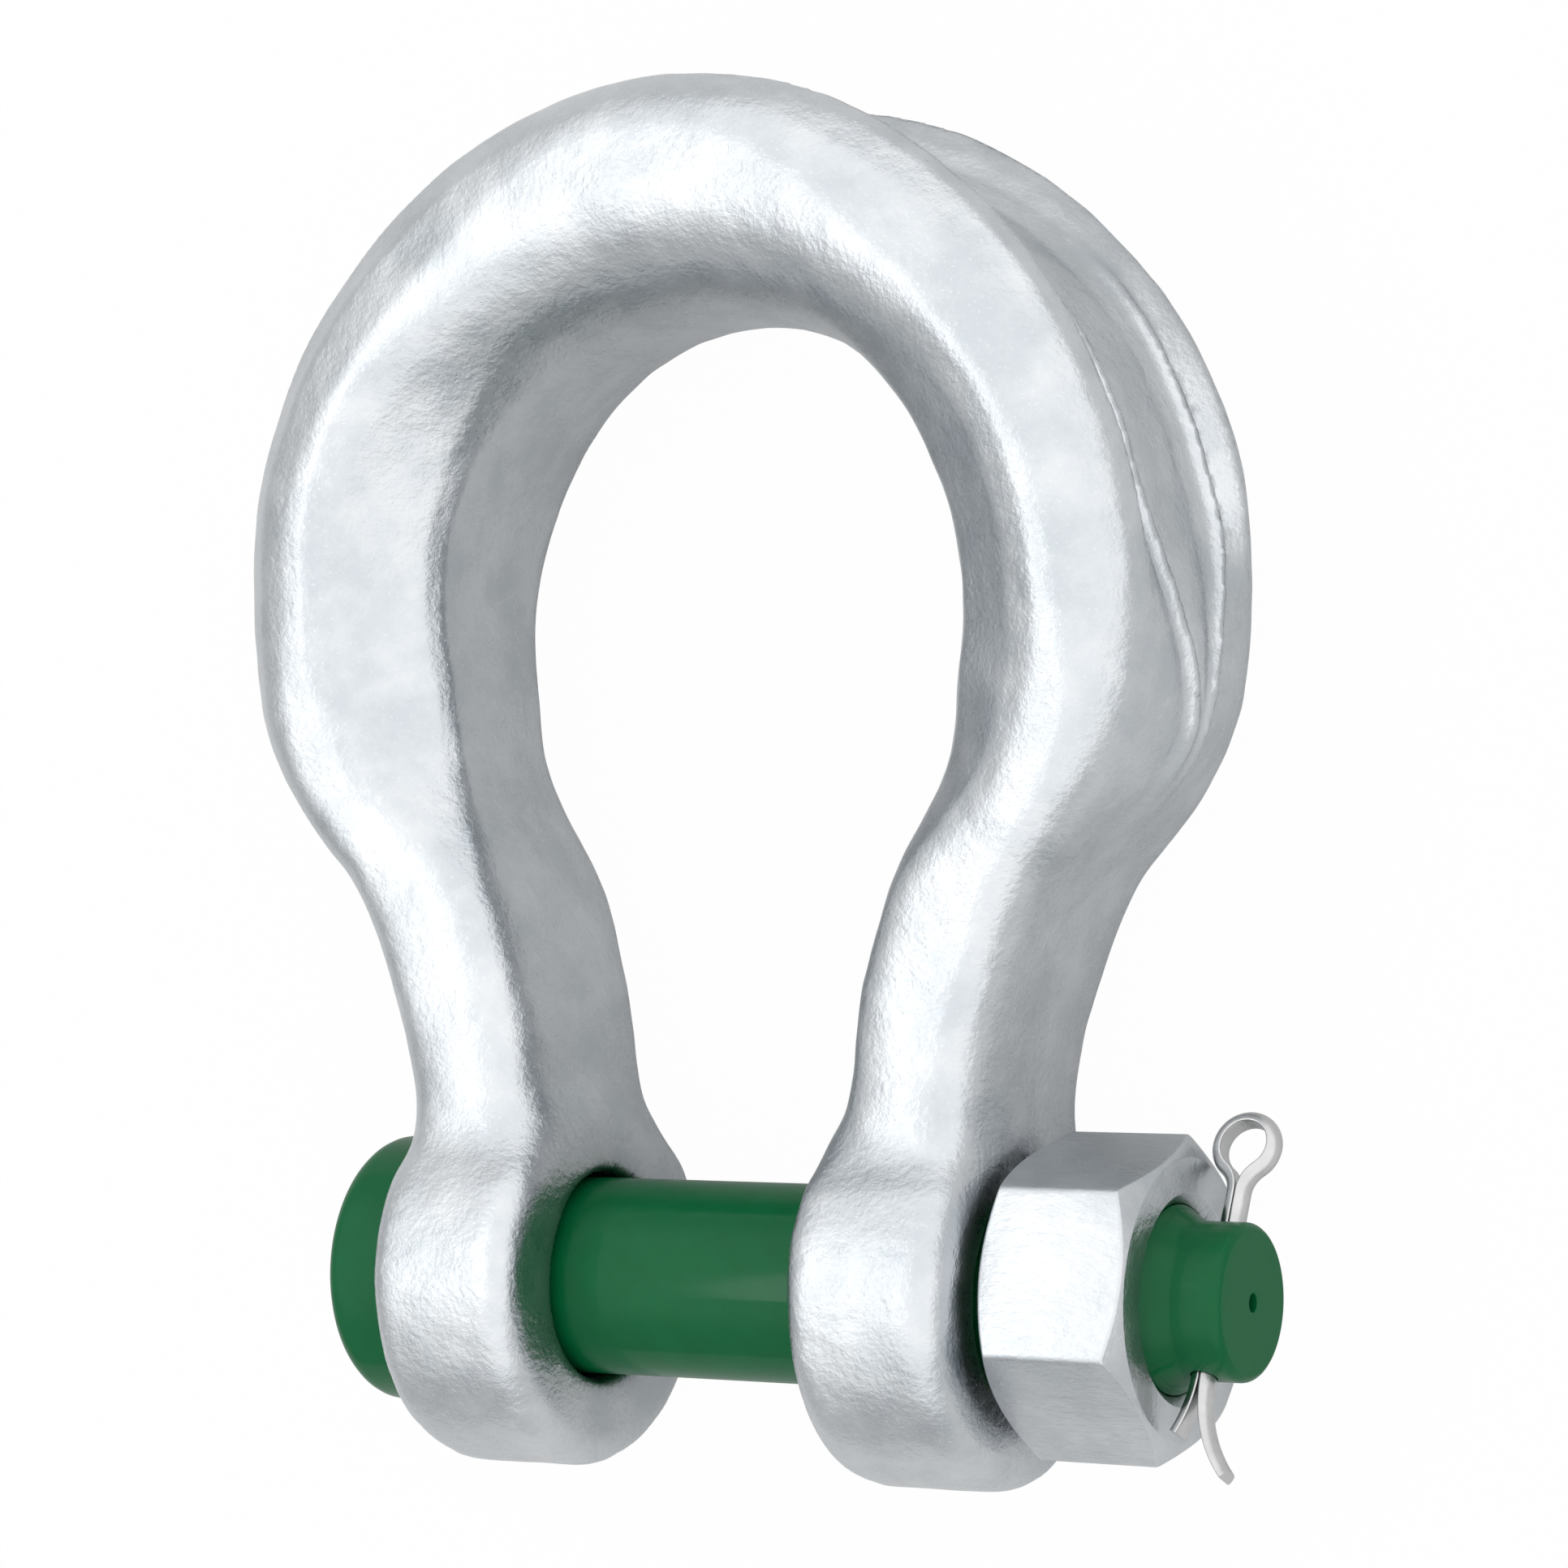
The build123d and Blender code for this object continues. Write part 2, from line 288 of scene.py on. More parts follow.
def lip_edge(turn, outer, width, lip, level, power):
    """Points from the lip's crest to the section's widest place."""
    crisp = ease(crisp_starts, turn) * (1 - crisp_loss * ease(crisp_weakens, turn)) * (1 - ease(crisp_ends, turn))
    crest = (outer, mix(width - lip, width - crisp_crest, crisp))
    corners = [(outer - down, width - across) for down, across in crisp_corners]
    edge = softened([crest] + corners + [(level, width)])[::2][1:]
    points = [crest]
    for k, angle in enumerate(np.linspace(0, pi / 2, len(edge) + 1)[1:]):
        plain = (outer - lip + lip * max(0, cos(angle)) ** (2 / power),
                 width - lip + lip * sin(angle) ** (2 / power))
        points.append(tuple(mix(np.array(plain), edge[k], crisp)))
    return points


def saddle(turn, inner, width, level, power):
    """Points from the section's widest place to the middle of the inside."""
    bevel = bevel_share * ease(bevel_starts, turn) * (1 - ease(bevel_ends, turn))
    slope = softened([(level, width), (4.5, width - 0.4), (-2.5, width - 2.6), (3.5 - inner, width * 0.6),
                      (-inner, width * 0.5), (-inner, 0)])[1:]
    points = []
    for k, angle in enumerate(np.linspace(0, pi / 2, len(slope) + 1)[1:]):
        plain = (level - (inner + level) * sin(angle) ** (2 / power),
                 width * max(0, cos(angle)) ** (2 / power))
        points.append(tuple(mix(np.array(plain), slope[k], bevel)))
    return points


def section(length):
    """Closed outline of the body's section, as outward and across distances."""
    turn = degrees(length / bow_mid_radius)
    to_side, to_leg, to_edge = [ease(span, turn) for span in (to_side_turns, to_leg_turns, to_edge_turns)]
    outer = mix(mix(crown_outer, side_outer, to_side), leg_outer, to_leg)
    inner = mix(mix(crown_inner, side_inner, to_side), leg_inner, to_leg)
    width = mix(crown_half_width, leg_half_width, ease(narrowing_turns, turn))
    if length > arc_end:
        drop = max(0.0, shoulder_start - path_point(length)[0][1])
        width += shoulder_radius - sqrt(shoulder_radius ** 2 - drop ** 2)
    lip, level = mix(crown_lip, leg_lip, to_edge), mix(crown_level, leg_level, to_edge)
    back = softened(back_corners(turn, outer, width - lip))
    back[:, 0] -= rib_groove(turn, back[:, 1])
    half = [tuple(point) for point in back[:-1]]
    half += lip_edge(turn, outer, width, lip, level, power=mix(1.75, 2.0, to_leg))
    half += saddle(turn, inner, width, level, power=mix(2.2, 5.2, ease((95, 140), turn)))
    return np.array(half + [(n, -z) for n, z in reversed(half[1:-1])])


print("the section has", len(section(0)), "points")

# %% [markdown]
# ## Rounded profiles
# The ears, the pin and the nut are turned shapes. A turned profile is a few corners, and a real corner is
# never sharp, so this helper rounds each corner by its own radius and then adds points along the straight
# stretches, so that the faces stay near square and take dents evenly.

# %% Rounding a profile's corners
def rounded(corners, steps=6, spacing=1.6, closed=True):
    """Points along a profile given as (x, y, corner radius), with arcs at its corners."""
    points = []
    count = len(corners)
    for i, (x, y, radius) in enumerate(corners):
        here = np.array([x, y], float)
        if radius == 0 or (not closed and i in (0, count - 1)):
            points.append(here)
            continue
        before = np.array(corners[i - 1][:2], float) - here
        after = np.array(corners[(i + 1) % count][:2], float) - here
        before, after = before / np.linalg.norm(before), after / np.linalg.norm(after)
        half_angle = acos(np.clip(before @ after, -1, 1)) / 2
        reach = radius / tan(half_angle)
        middle = (before + after) / np.linalg.norm(before + after)
        centre = here + middle * radius / sin(half_angle)
        start, end = here + before * reach - centre, here + after * reach - centre
        turn = acos(np.clip(start @ end / radius ** 2, -1, 1))
        for share in np.linspace(0, 1, steps + 1):
            points.append(centre + (start * sin((1 - share) * turn) + end * sin(share * turn)) / sin(turn))
    ends = points[1:] + ([points[0]] if closed else [])
    filled = []
    for first, last in zip(points, ends):
        pieces = max(1, round(float(np.linalg.norm(last - first)) / spacing))
        filled += [first + (last - first) * k / pieces for k in range(pieces)]
    return np.array(filled if closed else filled + [points[-1]])


def turned(name, profile, columns=192):
    """Ring turned about the pin's axis from a closed profile of x and radius."""
    angles = np.linspace(0, 2 * pi, columns, endpoint=False)
    rows = [[(x, r * cos(a), r * sin(a)) for a in angles] for x, r in profile]
    return grid_piece(name, rows, ring=True)

# %% [markdown]
# ## The bow
# The body and its two ears are made apart and fused by a voxel remesh, which wraps one even skin round
# all of them. A few rounds of relaxing then melt the seam between leg and ear into the soft fillet that a
# forging die leaves. The relaxing is strong only near the ears, so that the crown's lips stay crisp.

# %% Body and ears
stations = 261
voxel = 2.1


def bow_body():
    """The crown and both legs, from sections along the middle line."""
    half = []
    for length in np.linspace(0, leg_foot, stations):
        (x, y), (out_x, out_y) = path_point(length)
        half.append([(x + n * out_x, y + n * out_y, z) for n, z in section(length)])
    left = [[(-x, y, z) for x, y, z in row] for row in half[:0:-1]]
    return grid_piece("bow_body", left + half)


def bow_ear(side):
    """One round ear with its eye; side is -1 for the left and 1 for the right."""
    near, far = side * ear_inner_x, side * ear_outer_x
    profile = rounded([(near, eye_radius, eye_rounding), (near, ear_radius, ear_rounding),
                       (far, ear_radius, ear_rounding), (far, eye_radius, eye_rounding)])
    return turned(f"ear_{side}", profile)


def joined(name, pieces):
    """One object from several pieces."""
    bpy.ops.object.select_all(action="DESELECT")
    for piece in pieces:
        facing_out(piece).select_set(True)
    bpy.context.view_layer.objects.active = pieces[0]
    bpy.ops.object.join()
    pieces[0].name = name
    return pieces[0]


body, ears = facing_out(bow_body()), [bow_ear(-1), bow_ear(1)]
body_skin = BVHTree.FromObject(body, bpy.context.evaluated_depsgraph_get())
bow = joined("bow_forging", [body] + ears)
remesh = bow.modifiers.new("even skin", "REMESH")
remesh.mode = "VOXEL"
remesh.voxel_size = voxel * MM
bow = baked(bow)
print("the bow's skin has", len(bow.data.vertices), "points")

# %% [markdown]
# ## Relaxing and denting a skin
# Relaxing moves every point towards the middle of its neighbours. That softens the ribs too, so the skin is
# made finer near them and drawn back onto the body's exact shape, everywhere but near the ears. Denting
# moves each point along its normal by a smooth noise, at the two scales that a hammer and a thick zinc coat
# leave. Where on the bow each of these works is told by heights above the pin, in metres.

# %% Relax and dent
ear_tops, ear_shoulders, necks = (0.050, 0.085), (0.028, 0.042), (0.085, 0.115)
back_begins, rib_reach, ribs_end = 12, 6, 122
wave_shift = (7.3, 3.1, 5.7)


def read_points(mesh):
    """The mesh's points as an array, in metres."""
    flat = np.empty(len(mesh.vertices) * 3)
    mesh.vertices.foreach_get("co", flat)
    return flat.reshape(-1, 3)


def relax(piece, rounds, weight):
    """Moves each point towards its neighbours' middle, by weight(points) of the way each round."""
    mesh = piece.data
    points = read_points(mesh)
    edges = np.empty(len(mesh.edges) * 2, int)
    mesh.edges.foreach_get("vertices", edges)
    a, b = edges.reshape(-1, 2).T
    share = weight(points)[:, None]
    neighbours = np.bincount(np.concatenate([a, b]), minlength=len(points))[:, None]
    for _ in range(rounds):
        total = np.zeros_like(points)
        for axis in range(3):
            total[:, axis] = (np.bincount(a, points[b, axis], len(points))
                              + np.bincount(b, points[a, axis], len(points)))
        points += share * (total / neighbours - points)
    mesh.vertices.foreach_set("co", points.ravel())
    mesh.update()


def dent(piece, waves):
    """Moves points along their normals by noise; waves are (size of a dent, depth), in millimetres."""
    mesh = piece.data
    points = read_points(mesh)
    normals = np.empty(len(mesh.vertices) * 3)
    mesh.vertex_normals.foreach_get("vector", normals)
    depth = np.zeros(len(points))
    for k, (size, amount) in enumerate(waves):
        shift = Vector([step * k for step in wave_shift])
        depth += [amount * MM * noise.noise(Vector(point / (size * MM)) + shift) for point in points]
    mesh.vertices.foreach_set("co", (points + normals.reshape(-1, 3) * depth[:, None]).ravel())
    mesh.update()


def everywhere(points):
    """0.5 at every point."""
    return np.full(len(points), 0.5)


def near_ears(points):
    """0.5 where a leg meets its ear, 0 from the necks up and below the shoulders."""
    return 0.5 * (1 - ease(ear_tops, points[:, 1])) * ease(ear_shoulders, points[:, 1])


def near_ribs(points):
    """True close to a rib's crest on the back of the bow."""
    x, y, z = points.T / MM
    out = np.hypot(x, y - bow_centre_height) - bow_mid_radius
    turn = np.degrees(np.arctan2(np.abs(x), y - bow_centre_height))
    beside_rib = np.abs(np.abs(z) - rib_spread(turn)) < rib_reach
    return (out > back_begins) & beside_rib & (turn < ribs_end)


def above_ears(points):
    """0 at the ears and their shoulders, 1 from the necks up."""
    return ease(necks, points[:, 1])


def refine(piece, chosen):
    """Splits every edge between chosen points in two."""
    chosen = chosen(read_points(piece.data))
    skin = bmesh.new()
    skin.from_mesh(piece.data)
    skin.verts.ensure_lookup_table()
    edges = [edge for edge in skin.edges if chosen[edge.verts[0].index] and chosen[edge.verts[1].index]]
    bmesh.ops.subdivide_edges(skin, edges=edges, cuts=1, use_grid_fill=True)
    bmesh.ops.triangulate(skin, faces=[face for face in skin.faces if len(face.verts) > 4])
    skin.to_mesh(piece.data)
    skin.free()


def draw_onto(piece, skin, weight):
    """Moves each point onto the nearest place of a skin, by weight(points) of the way."""
    points = read_points(piece.data)
    share = weight(points)
    for k in np.nonzero(share > 0)[0]:
        found = skin.find_nearest(Vector(points[k]))[0]
        points[k] = mix(points[k], np.array(found), share[k])
    piece.data.vertices.foreach_set("co", points.ravel())
    piece.data.update()


relax(bow, 6, everywhere)
relax(bow, 40, near_ears)
refine(bow, near_ribs)
draw_onto(bow, body_skin, above_ears)
dent(bow, [(26, 0.5), (9, 0.22)])
smooth_shaded(bow)
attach(bow, "bow")
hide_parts("bow")
print("the bow has", len(bow.data.polygons), "faces")

# %% [markdown]
# ## The pin
# The pin is one turned piece: a round head, a thick shank, a short thread that the nut hides, a cone and
# a reduced stub with a centre drilling. Its profile is turned about the axis. The split pin's hole is cut
# by a boolean, because a turned grid can't hold a cross hole.

# %% Pin
head_gap = 0.3
head_inner_x = -ear_outer_x - head_gap
head_radius = pin_high.y / MM
thread_radius = 26.0
thread_chamfer = 1.6
cone_radius = 24.5
stub_radius = 21.75
thread_start_x = ear_outer_x - 3
cone_start_x = nut_outer_x - 1
centre_drill_radius = 2.6
split_hole_x = stub_end_x - 10.5
split_hole_radius = 3.9
split_tilt = Matrix.Rotation(radians(-25), 4, "X")
almost_axis = 0.01


def make_pin():
    """The pin, turned from its profile, with the split pin's hole cut through its stub."""
    corners = [(head_outer_x, 0, 0), (head_outer_x, head_radius, 6), (head_inner_x, head_radius, 0.8),
               (head_inner_x, pin_radius, 0.8), (thread_start_x - thread_chamfer, pin_radius, 1.2),
               (thread_start_x, thread_radius, 0.5), (cone_start_x - thread_chamfer, thread_radius, 0.8),
               (cone_start_x, cone_radius, 0.8), (cone_start_x + 5, stub_radius, 7),
               (stub_end_x, stub_radius, 3), (stub_end_x, centre_drill_radius, 0.4),
               (stub_end_x - 3, centre_drill_radius, 0.3), (stub_end_x - 5, 0, 0)]
    profile = rounded(corners, closed=False)
    profile[[0, -1], 1] = almost_axis
    angles = np.linspace(0, 2 * pi, 160, endpoint=False)
    rows = [[(x, r * cos(a), r * sin(a)) for a in angles] for x, r in profile]
    pin = facing_out(grid_piece("load_pin", rows))
    bpy.ops.mesh.primitive_cylinder_add(vertices=48, radius=split_hole_radius * MM, depth=70 * MM)
    drill = bpy.context.object
    upright = Matrix.Rotation(pi / 2, 4, "X")
    drill.matrix_world = Matrix.Translation((split_hole_x * MM, 0, 0)) @ split_tilt @ upright
    bpy.context.view_layer.update()
    cut = pin.modifiers.new("split pin hole", "BOOLEAN")
    cut.operation, cut.solver, cut.object = "DIFFERENCE", "EXACT", drill
    bpy.context.view_layer.update()
    baked(pin)
    bpy.data.objects.remove(drill)
    return pin


pin = smooth_shaded(make_pin())
pin.data.set_sharp_from_angle(angle=radians(40))
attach(pin, "pin")
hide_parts("pin")
print("the pin has", len(pin.data.polygons), "faces")

# %% [markdown]
# ## The nut
# A forged nut is a hexagon whose corners are turned off by a cone at each end. Round the axis, the flats
# follow one formula: the distance to the nearest flat, with a high power that rounds the corners. At each
# angle the profile runs over the flat, the cone, the face and the countersunk bore.

# %% Nut
across_flats = 80.0
nut_turn = -13.0
corner_sharpness = 90
bore_radius = 26.25
bore_chamfer = 3
face_share = 0.97
chamfer_angle = radians(30)


def flat_radius(angle):
    """Distance from the axis to the nut's side, with rounded corners."""
    facings = [max(0.0, cos(angle - radians(nut_turn + 30 + 60 * k))) for k in range(6)]
    nearest = sum(facing ** corner_sharpness for facing in facings) ** (1 / corner_sharpness)
    return across_flats / 2 / nearest


def make_nut():
    """The nut, one closed profile for each angle round the axis."""
    face_radius = across_flats / 2 * face_share
    columns = []
    for angle in np.linspace(0, 2 * pi, 360, endpoint=False):
        side = flat_radius(angle)
        cut = (side - face_radius) * tan(chamfer_angle)
        corners = [(nut_inner_x, bore_radius + bore_chamfer, 0.5), (nut_inner_x, face_radius, 0.8),
                   (nut_inner_x + cut, side, 1.1), (nut_outer_x - cut, side, 1.1),
                   (nut_outer_x, face_radius, 0.8), (nut_outer_x, bore_radius + bore_chamfer, 0.5),
                   (nut_outer_x - bore_chamfer, bore_radius, 0.5),
                   (nut_inner_x + bore_chamfer, bore_radius, 0.5)]
        points = rounded(corners, steps=4, spacing=1000)
        columns.append([(x, r * cos(angle), r * sin(angle)) for x, r in points])
    return facing_out(grid_piece("hexagon_nut", columns, ring=True))


nut = smooth_shaded(make_nut())
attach(nut, "nut")
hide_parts("nut")
print("the nut has", len(nut.data.polygons), "faces")

# %% [markdown]
# ## The split pin
# Half-round wire is bent double into an eye, pushed through the stub, and its legs are spread. The two
# legs lie flat to flat. The section is carried along the wire's path by its own tangent, so the flat side
# always faces the middle.

# %% Split pin
wire_radius = 3.4
leg_side = 0.1
eye_outer_radius = 10.2
eye_top = 55.4
eye_neck_radius = 10.0
long_spread, long_drop = 11.2, 28.5
short_spread, short_drop = 3.6, 16.8


def arc(centre, radius, start, end, steps):
    """Points along an arc of the wire's path."""
    angles = np.linspace(start, end, steps)
    return [(centre[0] + radius * cos(a), centre[1] + radius * sin(a)) for a in angles]


def leg_curve(sign, spread, drop, bend):
    """A leg from the bend, spreading away from the hole's line along an arc."""
    radius = (spread ** 2 + drop ** 2) / (2 * spread)
    turn = 2 * atan2(spread, drop)
    angles = np.linspace(0, turn, 16)
    return [(sign * (leg_side + radius * (1 - cos(a))), bend - radius * sin(a)) for a in angles]


def split_pin_path():
    """The wire's path in the split pin's own plane, from the long leg's end over the eye to the short one's."""
    eye, neck = eye_outer_radius - wire_radius, eye_neck_radius
    eye_height = eye_top - eye_outer_radius
    rise = sqrt((neck + eye) ** 2 - (neck + leg_side) ** 2)
    turn = atan2(rise, neck + leg_side)
    bend = -(stub_radius + 0.3)
    neck_curve = arc((neck + leg_side, eye_height - rise), neck, pi, pi - turn, 12)
    over = arc((0, eye_height), eye, -turn, pi + turn, 48)
    long_leg = leg_curve(1, long_spread, long_drop, bend)[::-1]
    short_leg = leg_curve(-1, short_spread, short_drop, bend)
    straight = [(leg_side, y) for y in np.linspace(bend, eye_height - rise, 30)[1:-1]]
    right = long_leg + straight + neck_curve
    left = [(-x, y) for x, y in reversed(straight + neck_curve)] + short_leg
    return np.array(right + over[1:-1] + left)


def make_split_pin():
    """The wire's half-round section, carried along its path."""
    path = split_pin_path()
    tangents = np.gradient(path, axis=0)
    tangents /= np.linalg.norm(tangents, axis=1)[:, None]
    outline = rounded([(0, -wire_radius, 0.4), (0, wire_radius, 0.4)] +
                      [(wire_radius * cos(a), wire_radius * sin(a), 0) for a in np.linspace(1.4, -1.4, 15)],
                      steps=3, spacing=1)
    rows = []
    for (x, y), (tx, ty) in zip(path, tangents):
        rows.append([(x + n * ty, y - n * tx, z) for n, z in outline])
    piece = facing_out(grid_piece("split_pin_wire", rows))
    piece.data.transform(Matrix.Translation((split_hole_x * MM, 0, 0)) @ split_tilt)
    return piece


split_pin = smooth_shaded(make_split_pin())
split_pin.data.set_sharp_from_angle(angle=radians(50))
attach(split_pin, "pin")
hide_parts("split_pin")
print("the split pin has", len(split_pin.data.polygons), "faces")

# %% [markdown]
# ## Writing materials as sums
# A finish is a few layers of noise, mixed and scaled. Written as nodes this is long, so a small class
# wraps a socket, and its plus, minus and times add the Math nodes. Every other node comes from one method.

# %% Shader maths in Python
class Signal:
    """One socket of a node tree, with arithmetic that adds Math nodes."""

    def __init__(self, tree, socket):
        self.tree, self.socket = tree, socket

    def maths(self, operation, first, second):
        return self.tree.node("ShaderNodeMath", {"operation": operation}, {0: first, 1: second})

    def __add__(self, other):
        return self.maths("ADD", self, other)

    def __sub__(self, other):
        return self.maths("SUBTRACT", self, other)

    def __mul__(self, other):
        return self.maths("MULTIPLY", self, other)

    def __rsub__(self, other):
        return self.maths("SUBTRACT", other, self)

    __radd__ = __add__
    __rmul__ = __mul__


class Tree:
    """A node tree, with one method that adds any node."""

    def __init__(self, owner):
        owner.use_nodes = True
        self.nodes, self.links = owner.node_tree.nodes, owner.node_tree.links

    def node(self, kind, settings, sockets, output=0):
        """Adds a node, sets its settings, then feeds its sockets, and gives one of its outputs."""
        node = self.nodes.new(kind)
        for key, value in settings.items():
            setattr(node, key, value)
        for key, value in sockets.items():
            self.feed(node.inputs[key], value)
        return Signal(self, node.outputs[output])

    def feed(self, socket, value):
        if isinstance(value, Signal):
            self.links.new(value.socket, socket)
        else:
            socket.default_value = value


print("node helpers ready")

# %% [markdown]
# ## A finish
# A finish is a material with its Principled shader. Noise is asked for by the size of its lumps in
# millimetres, which is easier to match with a photograph than a scale is. A bump is asked for by its depth.

# %% Finishes
class Finish(Tree):
    """A material with its Principled shader and the object's own place."""

    def __init__(self, name, **plain):
        self.material = bpy.data.materials.new(name)
        super().__init__(self.material)
        self.shader = self.nodes["Principled BSDF"]
        for socket, value in plain.items():
            self.shader.inputs[socket].default_value = value
        self.place = self.node("ShaderNodeTexCoord", {}, {}, output=3)

    def noise(self, size, detail=3.0, roughness=0.55, place=None):
        """Noise whose lumps are about size millimetres across."""
        return self.node("ShaderNodeTexNoise", {},
                         {"Vector": place or self.place, "Scale": 1 / (size * MM),
                          "Detail": detail, "Roughness": roughness})

    def stretched(self, x, y, z):
        """The object's own place, scaled along its axes; below 1 stretches what is drawn there."""
        return self.node("ShaderNodeVectorMath", {"operation": "MULTIPLY"}, {0: self.place, 1: (x, y, z)})

    def band(self, signal, low, high):
        """0 below low, 1 above high, smooth between."""
        return self.node("ShaderNodeMapRange", {"interpolation_type": "SMOOTHSTEP"},
                         {"Value": signal, "From Min": low, "From Max": high})

    def blend(self, share, first, second):
        """A colour that goes from the first to the second with share."""
        return self.node("ShaderNodeMix", {"data_type": "RGBA"}, {0: share, 6: first, 7: second}, output=2)

    def wear(self, **signals):
        """Feeds the shader's changing sockets."""
        for socket, value in signals.items():
            self.feed(self.shader.inputs[socket.replace("_", " ")], value)

    def bump(self, height, depth):
        """Bump from a height of 0 to 1, depth millimetres deep."""
        self.wear(Normal=self.node("ShaderNodeBump", {},
                                   {"Height": height, "Strength": 1.0, "Distance": depth * MM}))

    def dress(self, piece):
        piece.data.materials.clear()
        piece.data.materials.append(self.material)
        print(self.material.name, "on", piece.name)


def grey(value, tint=(1.0, 1.0, 1.0)):
    """A grey, or a grey with a slight tint."""
    return (value * tint[0], value * tint[1], value * tint[2], 1.0)


print("finish helpers ready")

# %% [markdown]
# ## Galvanised steel
# Molten zinc freezes on the forging as a pale, satin coat. It is a metal with a broad sheen, so it needs
# no colour of its own but a grey one, patches that differ a little in tone and sheen, and three sizes of
# bumps: the lumps of the thick coat, the dimples of the forging below it, and fine specks that glitter.

# %% Zinc coat
dark_tint, pale_tint = (0.94, 1, 1.05), (0.97, 1, 1.03)


def zinc_coat(name, tone, roughness, depth, grain=(1, 1, 1)):
    """Dipped zinc of a tone and a roughness, with bumps depth millimetres deep."""
    coat = Finish(name, Metallic=1.0)
    place = coat.stretched(*grain)
    patches, stains = coat.noise(30, detail=4), coat.noise(12, detail=5, roughness=0.65)
    lumps = coat.noise(8, detail=2, roughness=0.45, place=place)
    dimples = coat.noise(1.9, detail=4, roughness=0.62, place=place)
    specks = coat.band(coat.noise(1.1, detail=1, place=place), 0.62, 0.74)
    share = coat.band(patches, 0.36, 0.64) * 0.65 + coat.band(stains, 0.38, 0.66) * 0.35
    zinc = coat.blend(share, grey(tone * 0.88, dark_tint), grey(tone * 1.08, pale_tint))
    coat.wear(Base_Color=coat.blend(specks * 0.12, zinc, grey(min(1, tone * 1.5))),
              Roughness=patches * 0.14 + stains * 0.14 + (roughness - 0.14))
    coat.bump(lumps * 0.52 + dimples * 0.44 + specks * 0.04, depth)
    return coat


zinc_coat("zinc on the bow", 0.62, 0.28, 0.65).dress(bow)
zinc_coat("zinc on the nut", 0.60, 0.30, 0.5, grain=(0.45, 1, 1)).dress(nut)

# %% [markdown]
# ## Green paint
# The pin is painted before it is fitted. The paint is a plain deep colour with a soft gloss. The brush or
# spray leaves a slight orange peel, and the end face took a thinner, duller coat.

# %% Paint
deep_green, light_green, thin_green = (0.001, 0.082, 0.024, 1), (0.0015, 0.104, 0.034, 1), (0.022, 0.115, 0.05, 1)


def green_paint():
    """Green gloss, duller and paler on the stub's end face."""
    paint = Finish("green paint", **{"Coat Roughness": 0.08, "Specular IOR Level": 0.04, "IOR": 1.45})
    flow, peel = paint.noise(9, detail=2), paint.noise(2.4, detail=2)
    along = paint.node("ShaderNodeSeparateXYZ", {}, {0: paint.place})
    face = paint.band(along, (stub_end_x - 0.4) * MM, (stub_end_x - 0.1) * MM)
    colour = paint.blend(flow, deep_green, light_green)
    paint.wear(Base_Color=paint.blend(face, colour, thin_green),
               Roughness=flow * 0.10 + face * 0.25 + 0.28, Coat_Weight=0.30 - face * 0.25)
    paint.bump(flow * 0.4 + peel * 0.6, 0.09)
    return paint


green_paint().dress(pin)

# %% [markdown]
# ## Bright wire
# The split pin is drawn wire with a thin bright zinc plate. Drawing leaves fine lines along the wire, and
# the plate is smoother than the dipped coat.

# %% Wire
def bright_wire():
    """Drawn wire with fine lines along it."""
    wire = Finish("bright wire", Metallic=1.0)
    lines = wire.noise(1.2, detail=3, place=wire.stretched(1, 0.15, 0.6))
    tone = wire.noise(6, detail=2)
    wire.wear(Base_Color=wire.blend(tone, grey(0.46), grey(0.66)), Roughness=lines * 0.12 + 0.20)
    wire.bump(lines, 0.06)
    return wire


bright_wire().dress(split_pin)

# %% [markdown]
# ## The floor
# The shackle lies on a white floor. The camera sees it as almost pure white, and mirror-like rays see it a
# little brighter than it is. To every other ray it is a plain pale surface, so it keeps the shadow.

# %% Floor
camera_whiteness, mirror_whiteness = 0.98, 0.15
floor_reach = 4.0


def white_floor():
    """A plane at the model's lowest place, in metres."""
    size, level = floor_reach, model_box[0][2]
    mesh = bpy.data.meshes.new("floor")
    corners = [(-size, -size), (size, -size), (size, size), (-size, size)]
    mesh.from_pydata([(x, y, level) for x, y in corners], [], [(0, 1, 2, 3)])
    floor = bpy.data.objects.new("floor", mesh)
    bpy.context.scene.collection.objects.link(floor)
    white = Finish("white floor", **{"Roughness": 0.9, "Base Color": (0.60, 0.60, 0.60, 1)})
    glow = white.node("ShaderNodeEmission", {}, {"Color": (1, 1, 1, 1), "Strength": 1.0})
    seen = white.node("ShaderNodeLightPath", {}, {}, output="Is Camera Ray") * camera_whiteness
    mirrored = white.node("ShaderNodeLightPath", {}, {}, output="Is Glossy Ray") * mirror_whiteness
    matt = Signal(white, white.shader.outputs[0])
    surface = white.node("ShaderNodeMixShader", {}, {0: seen + mirrored, 1: matt, 2: glow})
    white.feed(white.nodes["Material Output"].inputs["Surface"], surface)
    white.dress(floor)


white_floor()

# %% [markdown]
# ## The studio
# The highlights of a satin metal are the room it stands in. Here the room is the world: brightest in front,
# to the right and above, where the photographer's white screens stood, and darker to the left and behind.
# Two smooth steps of one direction make it. The camera itself sees plain white.

# %% World
brightest_direction = (0.205, 0.174, 0.963)
behind, sides, front = 0.3, 0.5, 0.6
world = bpy.data.worlds.new("studio")
bpy.context.scene.world = world
studio = Tree(world)
looking = studio.node("ShaderNodeTexCoord", {}, {}, output=0)
towards = studio.node("ShaderNodeVectorMath", {"operation": "DOT_PRODUCT"},
                      {0: looking, 1: brightest_direction}, output=1)


